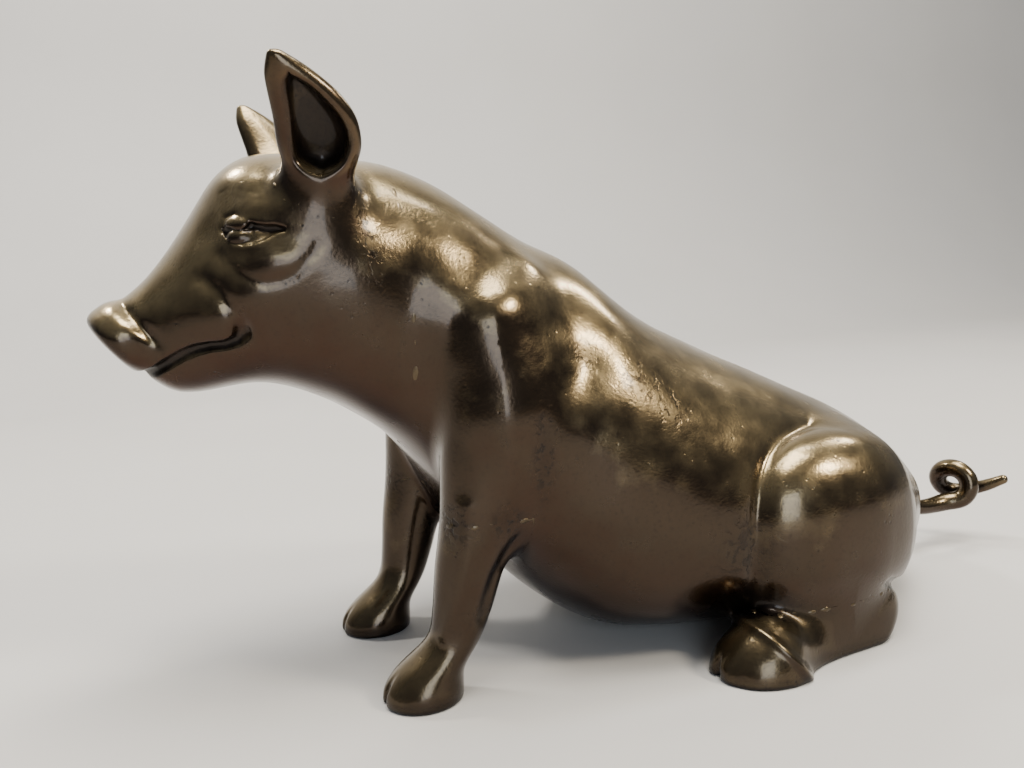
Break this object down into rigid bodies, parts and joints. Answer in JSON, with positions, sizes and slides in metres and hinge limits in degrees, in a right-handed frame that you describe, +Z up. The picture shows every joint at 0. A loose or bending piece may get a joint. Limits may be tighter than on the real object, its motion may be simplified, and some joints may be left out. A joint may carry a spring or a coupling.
{
  "type": "seated pig figurine",
  "caption": "Hollow cast brass figurine of a seated pig with raised head, cupped ears and a curled rod tail, standing on flat hoof soles.",
  "frame": {"origin": "on the ground under the middle of the figure's length, in its middle plane", "axes": "+X from tail to snout, +Y to the pig's left, +Z up"},
  "size_m": [0.2642, 0.1164, 0.141],
  "materials": {
    "cast_brass": "dark patina, waxed, rubbed bright on high places",
    "rod_brass": "dark patina, waxed",
    "braze": "rough, darkened filler"
  },
  "bodies": {
    "root": {"body_shell": "cast_brass", "head_shell": "cast_brass", "ear_left": "cast_brass", "ear_right": "cast_brass", "foreleg_left": "cast_brass", "foreleg_right": "cast_brass", "hind_leg_left": "cast_brass", "hind_leg_right": "cast_brass", "tail": "rod_brass", "neck_braze": "braze", "ear_left_braze": "braze", "ear_right_braze": "braze", "foreleg_left_braze": "braze", "foreleg_right_braze": "braze", "hind_leg_left_braze": "braze", "hind_leg_right_braze": "braze", "tail_braze": "braze"}
  },
  "joints": []
}
